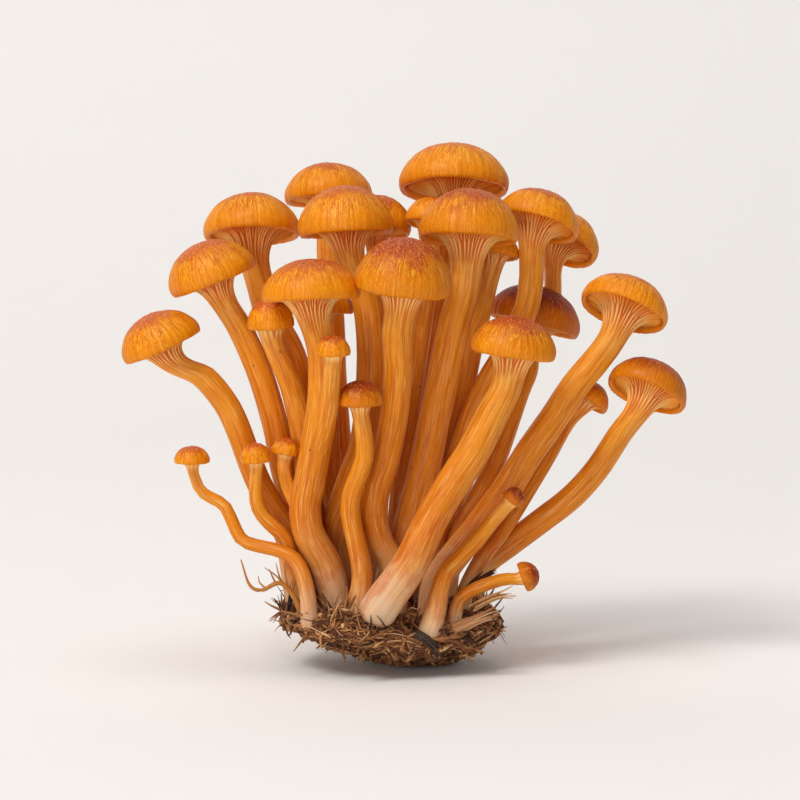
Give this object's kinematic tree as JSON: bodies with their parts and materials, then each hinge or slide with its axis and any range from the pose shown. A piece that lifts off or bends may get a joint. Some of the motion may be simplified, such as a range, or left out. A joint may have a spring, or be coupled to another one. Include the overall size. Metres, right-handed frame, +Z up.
{
  "type": "gilled mushroom cluster",
  "caption": "Upright cluster of orange-capped gilled mushrooms on long curved stems, grown from one clod of rotten wood and soil.",
  "frame": {"origin": "middle of the flat spot under the clod that it stands on", "axes": "+Z up, -Y towards the front that the picture shows, +X to its right along the cluster's width"},
  "size_m": [0.1668, 0.0988, 0.1551],
  "materials": {
    "cap_skin": "smooth radially streaked skin with a darker scaly crown, slight gloss",
    "flesh": "silky lengthwise streaks, satin",
    "clod": "crumbly and fibrous, matt",
    "pale_wood": "split grain, matt",
    "dark_wood": "weathered grain, matt"
  },
  "bodies": {
    "root": {"cap_01": "cap_skin", "cap_02": "cap_skin", "cap_03": "cap_skin", "cap_04": "cap_skin", "cap_05": "cap_skin", "cap_06": "cap_skin", "cap_07": "cap_skin", "cap_08": "cap_skin", "cap_09": "cap_skin", "cap_10": "cap_skin", "cap_11": "cap_skin", "cap_12": "cap_skin", "cap_13": "cap_skin", "cap_14": "cap_skin", "cap_15": "cap_skin", "cap_16": "cap_skin", "cap_17": "cap_skin", "cap_18": "cap_skin", "cap_19": "cap_skin", "cap_20": "cap_skin", "cap_21": "cap_skin", "cap_22": "cap_skin", "cap_23": "cap_skin", "cap_24": "cap_skin", "cap_25": "cap_skin", "cap_26": "cap_skin", "cap_27": "cap_skin", "cap_28": "cap_skin", "stem_01": "flesh", "stem_02": "flesh", "stem_03": "flesh", "stem_04": "flesh", "stem_05": "flesh", "stem_06": "flesh", "stem_07": "flesh", "stem_08": "flesh", "stem_09": "flesh", "stem_10": "flesh", "stem_11": "flesh", "stem_12": "flesh", "stem_13": "flesh", "stem_14": "flesh", "stem_15": "flesh", "stem_16": "flesh", "stem_17": "flesh", "stem_18": "flesh", "stem_19": "flesh", "stem_20": "flesh", "stem_22": "flesh", "stem_23": "flesh", "stem_25": "flesh", "stem_26": "flesh", "stem_27": "flesh", "stem_28": "flesh", "clod": "clod", "splinter_pale": "pale_wood", "splinter_dark": "dark_wood", "stick_dark": "dark_wood", "rootlet": "flesh"}
  },
  "joints": []
}
